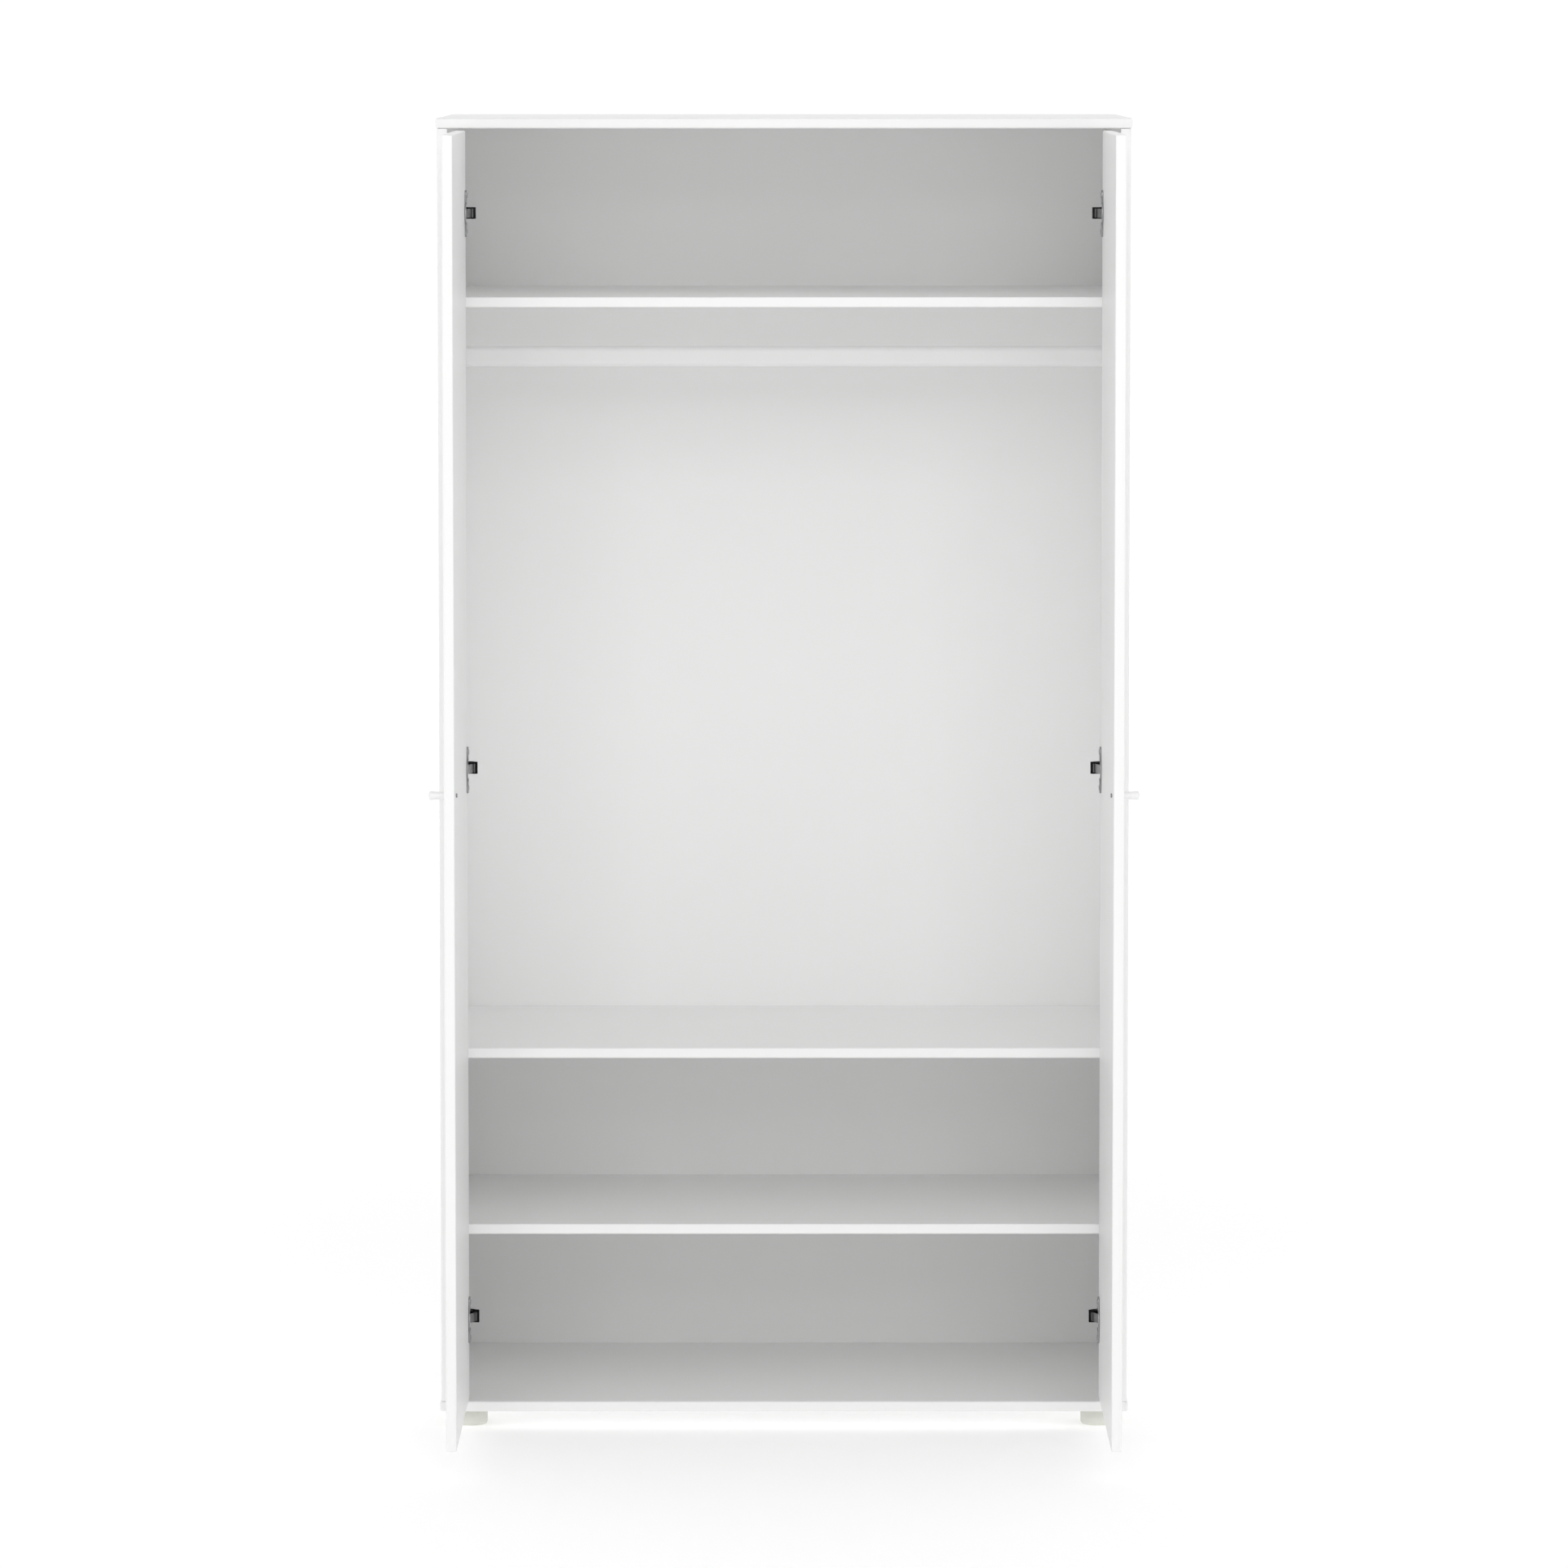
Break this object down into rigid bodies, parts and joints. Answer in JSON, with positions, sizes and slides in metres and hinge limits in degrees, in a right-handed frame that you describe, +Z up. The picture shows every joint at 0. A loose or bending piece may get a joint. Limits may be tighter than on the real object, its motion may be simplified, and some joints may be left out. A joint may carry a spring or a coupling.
{
  "type": "wardrobe with doors",
  "caption": "Free-standing white board wardrobe on round feet, with hinged doors, shelves and a rail for hanging clothes.",
  "frame": {"origin": "on the floor, under the middle of the box round the whole wardrobe with its doors open at a right angle", "axes": "+Z up, the front of the case faces -Y, and +X is to the right of a person who faces the front"},
  "size_m": [1, 1.028, 1.9],
  "materials": {
    "white_board": "white satin lacquer on board",
    "back_board": "white satin lacquer on thin fibreboard",
    "rail_enamel": "white powder coat",
    "knob_enamel": "white gloss enamel",
    "white_plastic": "moulded satin",
    "foot_plastic": "moulded satin",
    "hinge_steel": "nickel plated pressed steel",
    "arm_steel": "black burnished pressed steel",
    "zinc_steel": "zinc plated",
    "zinc_casting": "zinc die casting"
  },
  "bodies": {
    "carcass": {"top_panel": "white_board", "bottom_panel": "white_board", "right_side_panel": "white_board", "left_side_panel": "white_board", "back_panel": "back_board", "lower_shelf": "white_board", "middle_shelf": "white_board", "upper_shelf": "white_board", "clothes_rail": "rail_enamel", "right_rail_socket": "white_plastic", "right_rail_socket_screw": "zinc_steel", "left_rail_socket": "white_plastic", "left_rail_socket_screw": "zinc_steel", "right_front_foot": "foot_plastic", "right_front_foot_screw": "zinc_steel", "left_front_foot": "foot_plastic", "left_front_foot_screw": "zinc_steel", "right_rear_foot": "foot_plastic", "right_rear_foot_screw": "zinc_steel", "left_rear_foot": "foot_plastic", "left_rear_foot_screw": "zinc_steel", "right_upper_front_cam_fitting": "zinc_casting", "right_upper_rear_cam_fitting": "zinc_casting", "right_lower_front_cam_fitting": "zinc_casting", "right_lower_rear_cam_fitting": "zinc_casting", "left_upper_front_cam_fitting": "zinc_casting", "left_upper_rear_cam_fitting": "zinc_casting", "left_lower_front_cam_fitting": "zinc_casting", "left_lower_rear_cam_fitting": "zinc_casting", "right_lower_hinge_plate": "hinge_steel", "right_lower_hinge_arm": "arm_steel", "right_middle_hinge_plate": "hinge_steel", "right_middle_hinge_arm": "arm_steel", "right_upper_hinge_plate": "hinge_steel", "right_upper_hinge_arm": "arm_steel", "left_lower_hinge_plate": "hinge_steel", "left_lower_hinge_arm": "arm_steel", "left_middle_hinge_plate": "hinge_steel", "left_middle_hinge_arm": "arm_steel", "left_upper_hinge_plate": "hinge_steel", "left_upper_hinge_arm": "arm_steel"},
    "right_door": {"right_door": "white_board", "right_knob": "knob_enamel", "right_knob_screw": "zinc_steel", "right_lower_hinge_cup": "hinge_steel", "right_middle_hinge_cup": "hinge_steel", "right_upper_hinge_cup": "hinge_steel"},
    "left_door": {"left_door": "white_board", "left_knob": "knob_enamel", "left_knob_screw": "zinc_steel", "left_lower_hinge_cup": "hinge_steel", "left_middle_hinge_cup": "hinge_steel", "left_upper_hinge_cup": "hinge_steel"},
    "right_hinge_links": {"right_lower_hinge_link": "hinge_steel", "right_middle_hinge_link": "hinge_steel", "right_upper_hinge_link": "hinge_steel"},
    "left_hinge_links": {"left_lower_hinge_link": "hinge_steel", "left_middle_hinge_link": "hinge_steel", "left_upper_hinge_link": "hinge_steel"}
  },
  "joints": [
    {"name": "right_door_hinge", "type": "hinge", "parent": "carcass", "child": "right_door", "pos_m": [0.471, -0.0445, 0.9625], "axis": [0, 0, 1], "range_deg": [-90, 15]},
    {"name": "left_door_hinge", "type": "hinge", "parent": "carcass", "child": "left_door", "pos_m": [-0.471, -0.0445, 0.9625], "axis": [0, 0, -1], "range_deg": [-90, 15]},
    {"name": "right_hinge_link_swing", "type": "hinge", "parent": "carcass", "child": "right_hinge_links", "pos_m": [0.448, -0.024, 0.9625], "axis": [0, 0, 1], "range_deg": [-5, 29]},
    {"name": "left_hinge_link_swing", "type": "hinge", "parent": "carcass", "child": "left_hinge_links", "pos_m": [-0.448, -0.024, 0.9625], "axis": [0, 0, -1], "range_deg": [-5, 29]}
  ],
  "couplings": [
    {"joint": "right_hinge_link_swing", "follows": "right_door_hinge", "ratio": -0.32},
    {"joint": "left_hinge_link_swing", "follows": "left_door_hinge", "ratio": -0.32}
  ]
}
